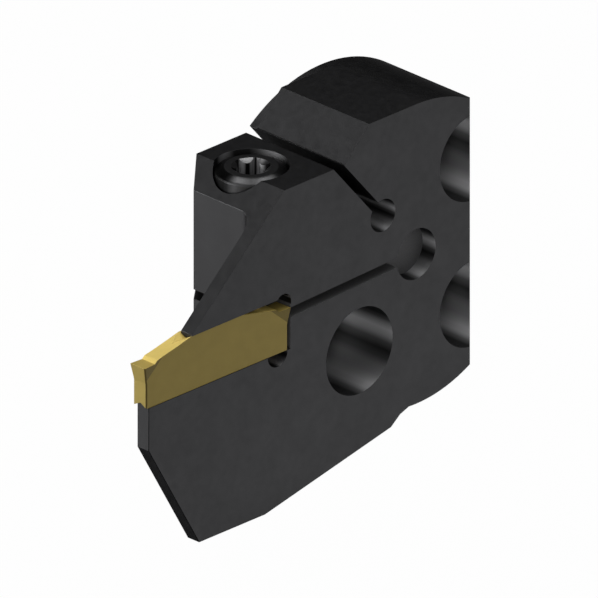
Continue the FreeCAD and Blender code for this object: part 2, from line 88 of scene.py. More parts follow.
# The recess's floor lies deeper than the first below the near face, and short of the second, which is
# a share of the head's depth.
RECESS_FLOOR_START = 0.2 * MILLIMETRE
RECESS_FLOOR_END = 0.6

# The gap between the screw's head and the bore round it.
SCREW_GAP = 0.15 * MILLIMETRE

# The socket lies within a share of the head's radius and no deeper than this. The sloping rim lies
# beyond a share of it and no further below the top.
SOCKET_REACH = 0.7
SOCKET_DEPTH = 3 * MILLIMETRE
RIM_START = 0.74
RIM_HEIGHT = 0.5 * MILLIMETRE

# The boxes round the lower slot and round the end wall of the insert's pocket, in millimetres.
LOWER_SLOT = ((-17.1, -13.0, -1.3), (-2.0, 0.0, 0.9))
POCKET_END = ((-17.35, -13.0, -4.5), (-17.15, -10.8, 1.4))

# The box round the insert's near front corner, from the cutting edge down, and the least share of an
# edge's length that is height, for it to be that corner.
INSERT_CORNER = ((-37.4, -13.2, -4.6), (-36.8, -12.8, 0.1))
UPRIGHT_SHARE = 0.7

# The insert's cutting lands lie below this height. Its top faces up by more than the first, and its
# ground reliefs face the sides by more than the second and down by more than the third.
LAND_HEIGHT = 0.05 * MILLIMETRE
TOP_FACING = 0.5
SIDE_FACING = 0.7
RELIEF_TILT = 0.02

# The box round the blade's front edge and its sloping lower edge, which are longer than the other
# edges there, and how many times as high as it is wide such an edge is at least.
BLADE_FRONT = ((-37.0, -13.5, -21.5), (-30.0, -12.5, -3.0))
BLADE_EDGE_LENGTH = 4 * MILLIMETRE
BLADE_EDGE_SLOPE = 1.2

# The part of a face's normal that lies along an axis: less than the first where the face runs along
# the axis, more than the second where it faces it, and more than the third where it is square to it.
RUNS_ALONG = 0.2
FACING = 0.9
SQUARE = 0.985

# Places in their lists of the other materials of the body, of the screw and of the insert.
BORED = 1
CUT_PAINTED_LIGHT = 2
UPRIGHT_BORE = 3
EDGE_PAINTED_SHADE = 4
SMALL_BORE = 5

SOCKET_MOUTH = 1
TURNED_SIDE = 2
SOCKET_WALL = 3

# The chip formers and lands are lighter copies of the insert's coating: painted light on its top.
CHIP_FORMER = 1
# The reliefs and the near front corner's chamfer are darker copies of the insert's coating: painted
# shade.
RELIEF = 2
LAND = 3
CORNER = 4

# The attribute that carries each point's turn round the axis of its bore or of the screw, which places
# the painted reflection bands.
TURN_ATTRIBUTE = "turn_round_axis"

# Painted reflection and painted shade in bands along a bore's wall: degrees round the bore, from its
# right side to its foot, and tone.
BORE_PAINTED_REFLECTION = (
    (-180, 0.4), (-75, 0.25), (-50, 0.01), (-34, 0.02), (-24, 0.16), (-16, 0.58), (-7, 1.0), (1, 0.7),
    (10, 0.16), (20, 0.02), (30, 0.09), (40, 0.31), (52, 0.46), (66, 0.9), (75, 0.85), (84, 0.27),
    (94, 0.05), (120, 0.04), (150, 0.3), (180, 0.4),
)

# Painted reflection and painted highlights in bands on the bore round the screw's head and on the
# head's side: degrees round the upright axis, counted towards +X from halfway between +X and +Y, and
# tone.
START_OF_TURN = 45
UPRIGHT_BORE_PAINTED_REFLECTION = (
    (-180, 0.02), (-62, 0.02), (-53, 0.28), (-44, 0.36), (-36, 0.26), (-26, 0.03), (-3, 0.03),
    (9, 0.16), (24, 0.38), (40, 0.42), (55, 0.16), (68, 0.02), (180, 0.02),
)
HEAD_PAINTED_REFLECTION = (
    (-180, 0.5), (-165, 0.8), (-153, 1.0), (-146, 0.55), (-139, 0.15), (-130, 0.02), (-90, 0.02),
    (-50, 0.1), (0, 0.2), (60, 0.15), (110, 0.1), (126, 0.2), (138, 0.8), (158, 1.0), (170, 0.6),
    (180, 0.5),
)

# Painted reflection bands on the sloping mouth and on the fluted wall of the screw's socket, counted
# in the same way.
SOCKET_MOUTH_PAINTED_REFLECTION = (
    (-180, 0.1), (-60, 0.1), (-48, 0.15), (-40, 0.8), (4, 1.0), (10, 0.1), (16, 0.3), (24, 0.3),
    (30, 0.65), (40, 0.5), (50, 0.2), (60, 0.08), (75, 0.25), (90, 0.08), (180, 0.1),
)
SOCKET_WALL_PAINTED_REFLECTION = (
    (-180, 0.02), (-82, 0.02), (-74, 0.3), (-64, 0.02), (-39, 0.02), (-34, 0.75), (-27, 0.55),
    (-21, 0.01), (-8, 0.01), (-2, 0.35), (7, 0.35), (11, 0.01), (14, 0.02), (17, 0.8), (23, 0.7),
    (25, 0.02), (28, 0.02), (31, 0.6), (46, 0.8), (56, 0.3), (62, 0.02), (180, 0.02),
)

# The thread's section is a triangle. Its reach and width for a circle of radius 1, as shares of the
# thread's depth and pitch, the share of the way along which its ends run out, and how thin they get.
THREAD_REACH = 0.767
THREAD_WIDTH = 0.53
THREAD_RUN_OUT = 0.04
THREAD_END = 0.15
THREAD_STEPS = 40

# The point that the camera looks at, in the middle of its frame.
VIEW_TARGET = (-10.04 * MILLIMETRE, -7.0 * MILLIMETRE, -3.47 * MILLIMETRE)

# The lamps' name, turn round the head and height in degrees, watts and side in metres.
LAMPS = (
    ("key_lamp", -30, 84, 0.8, 0.45),
    ("left_lamp", -137, 3, 5.0, 0.4),
    ("high_left_lamp", 175, 66, 0.45, 0.3),
    ("high_right_lamp", 88, 64, 0.45, 0.3),
)
LAMP_DISTANCE = 0.6
WHITE = (1.0, 1.0, 1.0, 1.0)

# The floor's radius in metres.
FLOOR_RADIUS = 6.0

# The floor's glow for the camera. Its mirrored glow is held back round the middle of the head's shadow,
# and in the room's two dark corners, which are told by x plus y.
FLOOR_GLOW = 0.985
DARK_CORNERS = (-105 * MILLIMETRE, -70 * MILLIMETRE, 30 * MILLIMETRE, 80 * MILLIMETRE)
SHADE_MIDDLE = (-20 * MILLIMETRE, 20 * MILLIMETRE)
SHADED_FLOOR = 32 * MILLIMETRE
OPEN_FLOOR = 52 * MILLIMETRE

# Points of the model nearer than this are one point.
MERGE_DISTANCE = 0.0005 * MILLIMETRE

# Faces are one flat where they turn by less than the first, in degrees, and their edge is sharp where
# they turn by more than the second. The insert's ramps and the thread's flanks have their own.
FLAT_ANGLE = 0.4
SHARP_ANGLE = 28.0
INSERT_SHARP_ANGLE = 12.0
THREAD_SHARP_ANGLE = 30.0


def linear(hex_colour):
    """An sRGB hex value such as 3A3A3C as linear red, green, blue and alpha."""
    channels = [int(hex_colour[start:start + 2], 16) / 255 for start in (0, 2, 4)]
    curve = [c / 12.92 if c <= 0.04045 else ((c + 0.055) / 1.055) ** 2.4 for c in channels]
    return (*curve, 1.0)


def length(name, description, millimetres):
    """A property for a length that a user would change."""
    return bpy.props.FloatProperty(
        name=name, description=description, default=millimetres * MILLIMETRE, min=0.0,
        subtype="DISTANCE", unit="LENGTH", precision=5)


def colour(name, description, hex_colour):
    """A property for a colour that a user would change."""
    return bpy.props.FloatVectorProperty(
        name=name, description=description, default=linear(hex_colour), size=4, min=0.0, max=1.0,
        subtype="COLOR")


def strength(name, description, default):
    """A property for how bright one side of the room is, where 1 is white."""
    return bpy.props.FloatProperty(name=name, description=description, default=default, min=0.0)


class HeadSizes(bpy.types.PropertyGroup):
    """Sizes of the fine detail that the pieces are dressed with."""

    body_edge: length("Body edge break", "Rounding of the steel body's edges", 0.035)
    corner_edge: length("Insert corner chamfer", "Chamfer of the insert's near front corner", 0.12)
    blade_edge: length("Blade edge break", "Chamfer of the blade's front edges on the near face", 0.24)
    insert_edge: length("Insert edge hone", "Rounding of the insert's ground edges", 0.03)
    screw_edge: length("Screw edge break", "Rounding of the screw's turned edges", 0.04)
    rim_round: length("Screw rim rounding", "Rounding of the rim of the screw's head", 0.4)
    thread_pitch: length("Thread pitch", "Rise of the screw's thread in one turn", 0.7)
    thread_depth: length("Thread depth", "Height of the screw's thread", 0.38)
    thread_length: length("Thread length", "Threaded end of the screw", 11.0)


class HeadColours(bpy.types.PropertyGroup):
    """Colours of the finishes."""

    steel: colour("Blackened steel", "Reflected colour of the head", "444445")
    # Painted shade: the blade's near-black chamfer stands in for a dark line of shade along its front
    # edges.
    edge: colour("Blade chamfer", "Chamfer of the blade, where the bath has bitten deepest", "0C0C0D")
    # Painted reflection and painted light: the bores' bright bands lift the shade inside them.
    bore_painted_reflection: colour("Bored steel", "Brightest bands of the bores' walls", "C4C4C6")
    small_bore_painted_reflection: colour("Relief bores", "Brightest bands of the relief below the insert's end", "7E7E80")
    # Painted light: a light grey that lifts the shade in the lower slot, the recess floor and the
    # pocket's end.
    cut: colour("Cut steel", "Lower slot, round recess's floor and pocket's end", "6A6A6B")
    flank: colour("Insert flanks", "Colour of the insert's ground flanks", "9F8C4A")
    # Painted shade: the corner's chamfer and the reliefs are darker copies of the flanks' colour.
    corner: colour("Insert corner", "Chamfer of the insert's near front corner", "5F5128")
    relief: colour("Insert reliefs", "Colour of the flanks below the cutting edges", "786935")
    # Painted light: the lands and chip formers are lighter copies of the flanks' colour.
    land_painted_light: colour("Cutting lands", "Narrow flats on top, behind the insert's cutting edges", "C8B060")
    former: colour("Chip former", "Colour of the insert's pressed chip formers", "F4D87A")
    screw: colour("Screw steel", "Reflected colour of the clamp screw", "454546")
    # Painted highlights and painted reflection: the brightest bands on the head's side and in the
    # socket.
    side: colour("Turned side", "Brightest bands of the side of the screw's head", "606061")
    mouth: colour("Socket mouth", "Brightest bands of the socket's sloping mouth", "8E8E8F")
    socket: colour("Socket walls", "Brightest bands of the socket's pressed walls", "E0E0E2")
    floor: colour("Floor", "Colour of the floor", "B4B4B4")


class StageSettings(bpy.types.PropertyGroup):
    """Where the camera stands and how the light falls."""

    azimuth: bpy.props.FloatProperty(
        name="Azimuth", description="Camera's turn round the head, from looking along +Y",
        default=math.radians(-45), subtype="ANGLE")
    elevation: bpy.props.FloatProperty(
        name="Elevation", description="Camera's height above the horizon",
        default=math.radians(25), subtype="ANGLE")
    distance: length("Distance", "Camera to the point that it looks at", 400)
    frame_width: length("Frame width", "Width that the parallel camera takes in", 57.88)
    floor_gap: length("Floor gap", "Floor below the head's lowest point", 9)
    room_left: strength("Room left", "Light of the room's wall on the insert's side", 0.6)
    room_right: strength("Room right", "Light of the wall on the far side from the insert", 0.01)
    room_front: strength("Room front", "Light of the wall that the near face looks at", 0.45)
    room_back: strength("Room back", "Light of the wall behind the coupling", 0.07)
    room_top: strength("Room top", "Light of the ceiling", 0.12)


def add_node(tree, kind, inputs=None, **settings):
    """Add a node. Its inputs are given by name or number, as values or as other nodes' outputs."""
    node = tree.nodes.new(kind)
    for name, value in settings.items():
        setattr(node, name, value)
    for key, value in (inputs or {}).items():
        if isinstance(value, bpy.types.NodeSocket):
            tree.links.new(value, node.inputs[key])
        else:
            node.inputs[key].default_value = value
    return node


def new_material(name):
    """An empty node material and the output node of its tree."""
    material = bpy.data.materials.new(name)
    material.use_nodes = True
    tree = material.node_tree
    tree.nodes.clear()
    return material, tree, add_node(tree, "ShaderNodeOutputMaterial")


def surface_noise(tree, grain_millimetres, low, high):
    """A value that wanders between two limits over the surface, with a real grain size."""
    place = add_node(tree, "ShaderNodeTexCoord")
    noise = add_node(tree, "ShaderNodeTexNoise", {
        "Vector": place.outputs["Object"],
        "Scale": 1 / (grain_millimetres * MILLIMETRE),
        "Detail": 3.0,
    })
    spread = add_node(tree, "ShaderNodeMapRange", {
        "Value": noise.outputs["Fac"], "From Min": 0.3, "From Max": 0.7, "To Min": low, "To Max": high,
    })
    return spread.outputs["Result"]


def shaded_colour(tree, base, factor):
    """The base colour times a value that varies over the surface."""
    mixed = add_node(tree, "ShaderNodeMix", {"Factor": 1.0}, data_type="RGBA", blend_type="MULTIPLY")
    mixed.inputs["A"].default_value = base
    tree.links.new(factor, mixed.inputs["B"])
    return mixed.outputs["Result"]


def blackened_steel(name, base):
    """Hardened steel, milled and ground, then blackened in a hot bath.

    The oxide keeps the metal's reflection but takes most of its strength: a dark satin sheen with
    no colour, a little uneven where the bath has bitten deeper.
    """
    material, tree, output = new_material(name)
    bump = add_node(tree, "ShaderNodeBump", {
        "Strength": 0.04, "Distance": 0.02 * MILLIMETRE, "Height": surface_noise(tree, 0.12, 0.0, 1.0),
    })
    shader = add_node(tree, "ShaderNodeBsdfPrincipled", {
        "Base Color": shaded_colour(tree, base, surface_noise(tree, 3.0, 0.94, 1.04)),
        "Metallic": 0.95,
        "Roughness": surface_noise(tree, 0.8, 0.38, 0.45),
        "Specular IOR Level": 0.1,
        "Specular Tint": (0.25, 0.25, 0.25, 1.0),
        "Normal": bump.outputs["Normal"],
    })
    tree.links.new(shader.outputs["BSDF"], output.inputs["Surface"])
    return material


def painted_reflection_steel(name, base, bands, metallic, roughness):
    """Steel with painted reflection and painted shade: soft light and dark bands along its axis.

    The bands stand in for reflections on a round wall. They follow the turn round the axis, which each
    point of the wall carries.
    """
    material, tree, output = new_material(name)
    turned = add_node(tree, "ShaderNodeAttribute", attribute_name=TURN_ATTRIBUTE)
    parts = add_node(tree, "ShaderNodeSeparateXYZ", {0: turned.outputs["Vector"]})
    turn = add_node(tree, "ShaderNodeMath", {
        0: parts.outputs["Y"], 1: parts.outputs["X"],
    }, operation="ARCTAN2")
    place = add_node(tree, "ShaderNodeMapRange", {
        "Value": turn.outputs["Value"], "From Min": -math.pi, "From Max": math.pi,
    })
    ramp = add_node(tree, "ShaderNodeValToRGB", {"Fac": place.outputs["Result"]})
    ramp.color_ramp.interpolation = "LINEAR"
    stops = ramp.color_ramp.elements
    while len(stops) < len(bands):
        stops.new(0.5)
    for stop, (degrees, tone) in zip(stops, bands):
        stop.position = (degrees + 180) / 360
        stop.color = (tone, tone, tone, 1.0)
    shader = add_node(tree, "ShaderNodeBsdfPrincipled", {
        "Base Color": shaded_colour(tree, base, ramp.outputs["Color"]),
        "Metallic": metallic,
        "Roughness": surface_noise(tree, 0.25, roughness - 0.05, roughness + 0.05),
        "Specular IOR Level": 0.05,
    })
    tree.links.new(shader.outputs["BSDF"], output.inputs["Surface"])
    return material


def cut_steel_painted_light(base):
    """Steel eroded by a wire after the bath: an even matt grey without any direction, made light enough
    to lift the shade inside the lower slot, the recess floor and the pocket's end, which is painted
    light.
    """
    material, tree, output = new_material("cut_steel_painted_light")
    shader = add_node(tree, "ShaderNodeBsdfPrincipled", {
        "Base Color": shaded_colour(tree, base, surface_noise(tree, 0.15, 0.85, 1.05)),
        "Metallic": 0.2,
        "Roughness": surface_noise(tree, 0.3, 0.55, 0.65),
        "Specular IOR Level": 0.2,
    })
    tree.links.new(shader.outputs["BSDF"], output.inputs["Surface"])
    return material


def coated_carbide(name, base, metallic, roughness):
    """Carbide with a thin gold coloured nitride coating, deposited from vapour.

    The coating is a hard metal nitride a few thousandths thick. It follows the grit below it, so its
    shine is broad: dull on the ground flanks, livelier in the pressed and brushed chip formers. Its
    tone is painted light on the tops and painted shade on the reliefs and the corner: lighter and
    darker copies of one colour.
    """
    material, tree, output = new_material(name)
    bump = add_node(tree, "ShaderNodeBump", {
        "Strength": 0.05, "Distance": 0.01 * MILLIMETRE, "Height": surface_noise(tree, 0.08, 0.0, 1.0),
    })
    shader = add_node(tree, "ShaderNodeBsdfPrincipled", {
        "Base Color": shaded_colour(tree, base, surface_noise(tree, 1.5, 0.95, 1.03)),
        "Metallic": metallic,
        "Roughness": surface_noise(tree, 0.3, roughness - 0.04, roughness + 0.04),
        "Specular IOR Level": 0.2,
        "Normal": bump.outputs["Normal"],
    })
    tree.links.new(shader.outputs["BSDF"], output.inputs["Surface"])
    return material


def turned_screw_steel(base):
    """Alloy steel, turned and thinly oiled, so it is brighter and smoother than the body."""
    material, tree, output = new_material("turned_screw_steel")
    shader = add_node(tree, "ShaderNodeBsdfPrincipled", {
        "Base Color": shaded_colour(tree, base, surface_noise(tree, 0.6, 0.92, 1.04)),
        "Metallic": 1.0,
        "Roughness": surface_noise(tree, 0.2, 0.34, 0.42),
    })
    tree.links.new(shader.outputs["BSDF"], output.inputs["Surface"])
    return material


def merged_mesh(node):
    """A copy of a node's mesh as a closed skin, with its flat areas joined to whole faces."""
    shape = bmesh.new()
    shape.from_mesh(frame["nodes"][node].data)
    bmesh.ops.remove_doubles(shape, verts=shape.verts, dist=MERGE_DISTANCE)
    bmesh.ops.dissolve_limit(
        shape, angle_limit=math.radians(FLAT_ANGLE), use_dissolve_boundaries=False,
        verts=shape.verts, edges=shape.edges, delimit={"NORMAL"})
    return shape


def finished_piece(shape, name, materials, edge, sharp_angle=SHARP_ANGLE):
    """Turn a bmesh into an object with rounded edges, clean shading and its materials."""
    mesh = bpy.data.meshes.new(name)
    for material in materials:
        mesh.materials.append(material)
    shape.to_mesh(mesh)
    shape.free()
    mesh.shade_smooth()
    mesh.set_sharp_from_angle(angle=math.radians(sharp_angle))
    rough = bpy.data.objects.new(name + "_sharp", mesh)
    bpy.context.scene.collection.objects.link(rough)
    bevel = rough.modifiers.new("edge_break", "BEVEL")
    bevel.limit_method = "ANGLE"
    bevel.angle_limit = math.radians(sharp_angle)
    bevel.width = edge
    bevel.segments = 2
    bevel.miter_outer = "MITER_ARC"
    weighted = rough.modifiers.new("flat_faces", "WEIGHTED_NORMAL")
    weighted.mode = "FACE_AREA"
    weighted.weight = 100
    weighted.keep_sharp = True
    return plain_object(rough, name)


def plain_object(source, name):
    """The evaluated shape of an object as a new object with a plain mesh. The source is removed."""
    bpy.context.view_layer.update()
    evaluated = source.evaluated_get(bpy.context.evaluated_depsgraph_get())
    mesh = bpy.data.meshes.new_from_object(evaluated)
    mesh.name = name
    piece = bpy.data.objects.new(name, mesh)
    bpy.context.scene.collection.objects.link(piece)
    bpy.data.objects.remove(source)
    return piece


def hand_over(piece, node):
    """Attach the piece to the body that it rides on, and hide the node that it stands for."""
    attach(piece, BODY)
    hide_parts(node)


def bore_walls():
    """Axis and radius of each bore that is open to the near face: x, z and r in metres."""
    walls = [(x * MILLIMETRE, z * MILLIMETRE, r * MILLIMETRE) for x, z, r in NEAR_BORES]
    for mount in frame["record"]["mounts"]:
        if mount["name"].startswith("bolt_hole"):
            walls.append((mount["pos_m"][0], mount["pos_m"][2], COUNTERBORE_RADIUS))
    return walls


def inside(point, box):
    """Whether a point lies in a box that is given in millimetres."""
    low, high = box
    return all(low[i] * MILLIMETRE < point[i] < high[i] * MILLIMETRE for i in range(3))


def chamfer_blade(shape, width):
    """Chamfer the blade's front edge and its sloping lower edge where they meet the near face. The
    chamfer takes a near-black colour: painted shade along these edges.
    """
    near_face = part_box("head_body")[0][1]
    edges = []
    for edge in shape.edges:
        first, second = (vertex.co for vertex in edge.verts)
        run = second - first
        on_near_face = max(first.y, second.y) < near_face + MERGE_DISTANCE
        steep = abs(run.z) > BLADE_EDGE_SLOPE * abs(run.x)
        if on_near_face and steep and run.length > BLADE_EDGE_LENGTH:
            if inside((first + second) / 2, BLADE_FRONT):
                edges.append(edge)
    bmesh.ops.bevel(
        shape, geom=edges, offset=width, offset_type="OFFSET", segments=1, profile=0.5, affect="EDGES",
        clamp_overlap=True, material=EDGE_PAINTED_SHADE)


def screw_axis():
    """The screw's upright axis as x and y, the radius of its head and the height of its top."""
    low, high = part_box("clamp_screw")
    return (low[0] + high[0]) / 2, (low[1] + high[1]) / 2, (high[0] - low[0]) / 2, high[2]


def turn_from_back(point, axis_x, axis_y):
    """The turn round an upright axis, from halfway between +X and +Y, as a cosine and a sine."""
    turn = math.atan2(point.x - axis_x, point.y - axis_y) - math.radians(START_OF_TURN)
    return Vector((math.cos(turn), math.sin(turn), 0.0))


def mark_bores(shape):
    """Give the bores' walls their materials, and store each point's turn round the bore's axis."""
    turned = shape.verts.layers.float_vector.new(TURN_ATTRIBUTE)
    axis_x, axis_y, head_radius, _ = screw_axis()
    near_face = CAD_BOX[0][1]
    for face in shape.faces:
        middle = face.calc_center_median()
        off_wall = abs(math.hypot(middle.x - axis_x, middle.y - axis_y) - head_radius - SCREW_GAP)
        # The bore round the screw's head takes painted reflection bands.
        if abs(face.normal.z) < RUNS_ALONG and off_wall < UPRIGHT_BORE_TOLERANCE:
            face.material_index = UPRIGHT_BORE
            for vertex in face.verts:
                vertex[turned] = turn_from_back(vertex.co, axis_x, axis_y)
        if abs(face.normal.y) < RUNS_ALONG:
            # Bore walls take painted reflection bands and painted light, placed by each point's turn
            # round the bore.
            for x, z, radius in bore_walls():
                if abs(math.hypot(middle.x - x, middle.z - z) - radius) < BORE_TOLERANCE:
                    face.material_index = SMALL_BORE if radius < SMALL_BORE_LIMIT else BORED
                    for vertex in face.verts:
                        vertex[turned] = Vector((vertex.co.x - x, z - vertex.co.z, 0.0)).normalized()
        # The round recess's floor, the lower slot and the pocket's end take the light cut steel:
        # painted light that lifts the shade in these hollows.
        elif near_face + RECESS_FLOOR_START < middle.y < RECESS_FLOOR_END * near_face:
            if math.hypot(middle.x, middle.z) < RECESS_RADIUS * MILLIMETRE:
                face.material_index = CUT_PAINTED_LIGHT
        if abs(face.normal.z) > FACING and inside(middle, LOWER_SLOT):
            face.material_index = CUT_PAINTED_LIGHT
        if abs(face.normal.x) > FACING and inside(middle, POCKET_END):
            face.material_index = CUT_PAINTED_LIGHT


class CUTTERHEAD_OT_body(bpy.types.Operator):
    """Steel head with softly broken edges"""

    bl_idname = "cutterhead.body"
    bl_label = "Head body"

    def execute(self, context):
        sizes = context.scene.head_sizes
        colours = context.scene.head_colours
        shape = merged_mesh("head_body")
        mark_bores(shape)
        chamfer_blade(shape, sizes.blade_edge)
        materials = (
            blackened_steel("blackened_steel_ground", colours.steel),
            # Painted reflection and painted light: bright bands on the bores' walls.
            painted_reflection_steel("bore_wall_painted_reflection", colours.bore_painted_reflection, BORE_PAINTED_REFLECTION, 0.1, 0.55),
            # Painted light: the light cut steel lifts the shade in the lower slot, recess floor and
            # pocket's end.
            cut_steel_painted_light(colours.cut),
            # Painted reflection: bands on the bore round the screw's head.
            painted_reflection_steel("upright_bore_painted_reflection", colours.bore_painted_reflection, UPRIGHT_BORE_PAINTED_REFLECTION, 0.1, 0.55),
            # Painted shade: the near-black chamfer along the blade's front edges.
            blackened_steel("blade_edge_painted_shade", colours.edge),
            # Painted reflection and painted light: bands on the small relief bore.
            painted_reflection_steel("small_bore_wall_painted_reflection", colours.small_bore_painted_reflection, BORE_PAINTED_REFLECTION, 0.1, 0.55))
        piece = finished_piece(shape, "head_body_steel", materials, sizes.body_edge)
        hand_over(piece, "head_body")
        return {"FINISHED"}


def mark_insert(shape):
    """Give the insert's chip formers, lands and ground reliefs their materials: lighter copies of the
    coating on the tops, painted light, and a darker copy on the reliefs, painted shade.
    """
    for face in shape.faces:
        # Top faces take lighter copies of the coating: painted light.
        if face.normal.z > TOP_FACING:
            on_land = face.calc_center_median().z < LAND_HEIGHT
            face.material_index = LAND if on_land else CHIP_FORMER
        # Side faces tilted down take a darker copy of the coating: painted shade.
        elif abs(face.normal.y) > SIDE_FACING and face.normal.z < -RELIEF_TILT:
            face.material_index = RELIEF


def chamfer_corner(shape, width):
    """Chamfer the insert's near front corner from the cutting edge down. The chamfer takes a darker
    copy
    of the coating: painted shade.
    """
    corner = [
        edge for edge in shape.edges
        if all(inside(vertex.co, INSERT_CORNER) for vertex in edge.verts)
        and abs(edge.verts[0].co.z - edge.verts[1].co.z) > UPRIGHT_SHARE * edge.calc_length()]
    bmesh.ops.bevel(
        shape, geom=corner, offset=width, offset_type="OFFSET", segments=1, profile=0.5, affect="EDGES",
        clamp_overlap=True, material=CORNER)


class CUTTERHEAD_OT_insert(bpy.types.Operator):
    """Two-edged insert with its chip formers"""

    bl_idname = "cutterhead.insert"
    bl_label = "Cutting insert"

    def execute(self, context):
        sizes = context.scene.head_sizes
        colours = context.scene.head_colours
        shape = merged_mesh("cutting_insert")
        mark_insert(shape)
        chamfer_corner(shape, sizes.corner_edge)
        materials = (
            coated_carbide("ground_nitride_coating", colours.flank, 0.15, 0.5),
            # Painted light on the chip formers.
            coated_carbide("chip_former_coating_painted_light", colours.former, 0.2, 0.34),
            # Painted shade on the reliefs.
            coated_carbide("relief_coating_painted_shade", colours.relief, 0.15, 0.5),
            # Painted light on the lands.
            coated_carbide("land_coating_painted_light", colours.land_painted_light, 0.2, 0.4),
            # Painted shade on the near front corner's chamfer.
            coated_carbide("corner_coating_painted_shade", colours.corner, 0.15, 0.5))
        piece = finished_piece(
            shape, "cutting_insert_coated", materials, sizes.insert_edge, INSERT_SHARP_ANGLE)
        hand_over(piece, "cutting_insert")
        return {"FINISHED"}


def round_head_rim(shape, radius):
    """Round off both edges of the sloping rim round the screw's head."""
    axis_x, axis_y, head_radius, top = screw_axis()

    def on_rim(vertex):
        across = math.hypot(vertex.co.x - axis_x, vertex.co.y - axis_y)
        return across > RIM_START * head_radius and vertex.co.z > top - RIM_HEIGHT

    rings = [
        edge for edge in shape.edges
        if all(on_rim(vertex) for vertex in edge.verts)
        and abs(edge.verts[0].co.z - edge.verts[1].co.z) < MERGE_DISTANCE]
    bmesh.ops.bevel(
        shape, geom=rings, offset=radius, offset_type="OFFSET", segments=6, profile=0.5, affect="EDGES",
        clamp_overlap=True)


def mark_head(shape):
    """Give the socket's walls and the side and rim of the screw's head their materials."""
    turned = shape.verts.layers.float_vector.new(TURN_ATTRIBUTE)
    axis_x, axis_y, head_radius, top = screw_axis()
    for face in shape.faces:
        middle = face.calc_center_median()
        tilt = abs(face.normal.z)
        if math.hypot(middle.x - axis_x, middle.y - axis_y) > SOCKET_REACH * head_radius:
            if tilt < SQUARE:
                face.material_index = TURNED_SIDE
        elif middle.z > top - SOCKET_DEPTH and tilt < FACING:
            face.material_index = SOCKET_WALL if tilt < RUNS_ALONG else SOCKET_MOUTH
        # The side, rim and socket carry painted reflection bands, placed by each point's turn round the
        # axis.
        if face.material_index:
            for vertex in face.verts:
                vertex[turned] = turn_from_back(vertex.co, axis_x, axis_y)


def turn_shank_down(shape, thread_length, depth):
    """Turn the copied shank down to the thread's core, with a shoulder where the thread ends."""
    axis_x, axis_y, _, _ = screw_axis()
    thread_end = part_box("clamp_screw")[0][2] + thread_length
    for height in (thread_end, thread_end - depth):
        bmesh.ops.bisect_plane(
            shape, geom=shape.verts[:] + shape.edges[:] + shape.faces[:], dist=MERGE_DISTANCE,
            plane_co=(0.0, 0.0, height), plane_no=(0.0, 0.0, 1.0))
    shank_radius = max(
        math.hypot(vertex.co.x - axis_x, vertex.co.y - axis_y)
        for vertex in shape.verts if vertex.co.z < thread_end)
    core = shank_radius - depth
    for vertex in shape.verts:
        across = math.hypot(vertex.co.x - axis_x, vertex.co.y - axis_y)
        if vertex.co.z < thread_end - depth / 2 and across > core:
            vertex.co.x = axis_x + (vertex.co.x - axis_x) * core / across
            vertex.co.y = axis_y + (vertex.co.y - axis_y) * core / across
    return shank_radius


def thread_tree():
    """Node tree that winds a vee thread upwards round the axis, with its ends run out."""
    tree = bpy.data.node_groups.new("screw_thread", "GeometryNodeTree")
    for name in ("Pitch", "Depth", "Length", "Crest Radius"):
        tree.interface.new_socket(name, in_out="INPUT", socket_type="NodeSocketFloat")
    tree.interface.new_socket("Material", in_out="INPUT", socket_type="NodeSocketMaterial")
    tree.interface.new_socket("Geometry", in_out="OUTPUT", socket_type="NodeSocketGeometry")
    given = add_node(tree, "NodeGroupInput").outputs

    turns = add_node(tree, "ShaderNodeMath", {
        0: given["Length"], 1: given["Pitch"],
    }, operation="DIVIDE")
    tall = add_node(tree, "ShaderNodeMath", {
        0: given["Depth"], 1: THREAD_REACH,
    }, operation="MULTIPLY")
    wide = add_node(tree, "ShaderNodeMath", {
        0: given["Pitch"], 1: THREAD_WIDTH,
    }, operation="MULTIPLY")
    radius = add_node(tree, "ShaderNodeMath", {
        0: given["Crest Radius"], 1: tall.outputs["Value"],
    }, operation="SUBTRACT")
    spiral = add_node(tree, "GeometryNodeCurveSpiral", {
        "Resolution": THREAD_STEPS, "Rotations": turns.outputs["Value"],
        "Start Radius": radius.outputs["Value"], "End Radius": radius.outputs["Value"],
        "Height": given["Length"], "Reverse": True,
    })
    upright = add_node(tree, "GeometryNodeSetCurveNormal", {
        "Curve": spiral.outputs["Curve"],
    }, mode="Z_UP")
    triangle = add_node(tree, "GeometryNodeCurvePrimitiveCircle", {"Resolution": 3, "Radius": 1.0})
    spread = add_node(tree, "ShaderNodeCombineXYZ", {
        "X": tall.outputs["Value"], "Y": wide.outputs["Value"], "Z": 1.0,
    })
    section = add_node(tree, "GeometryNodeTransform", {
        "Geometry": triangle.outputs["Curve"], "Scale": spread.outputs["Vector"],
    })
    way = add_node(tree, "GeometryNodeSplineParameter")
    left = add_node(tree, "ShaderNodeMath", {0: 1.0, 1: way.outputs["Factor"]}, operation="SUBTRACT")
    nearer = add_node(tree, "ShaderNodeMath", {
        0: way.outputs["Factor"], 1: left.outputs["Value"],
    }, operation="MINIMUM")
    run_out = add_node(tree, "ShaderNodeMapRange", {
        "Value": nearer.outputs["Value"], "From Max": THREAD_RUN_OUT, "To Min": THREAD_END,
    })
    thread = add_node(tree, "GeometryNodeCurveToMesh", {
        "Curve": upright.outputs["Curve"], "Profile Curve": section.outputs["Geometry"],
        "Scale": run_out.outputs["Result"], "Fill Caps": True,
    })
    real = add_node(tree, "GeometryNodeRealizeInstances", {"Geometry": thread.outputs["Mesh"]})
    finished = add_node(tree, "GeometryNodeSetMaterial", {
        "Geometry": real.outputs["Geometry"], "Material": given["Material"],
    })
    add_node(tree, "NodeGroupOutput", {"Geometry": finished.outputs["Geometry"]})
    return tree


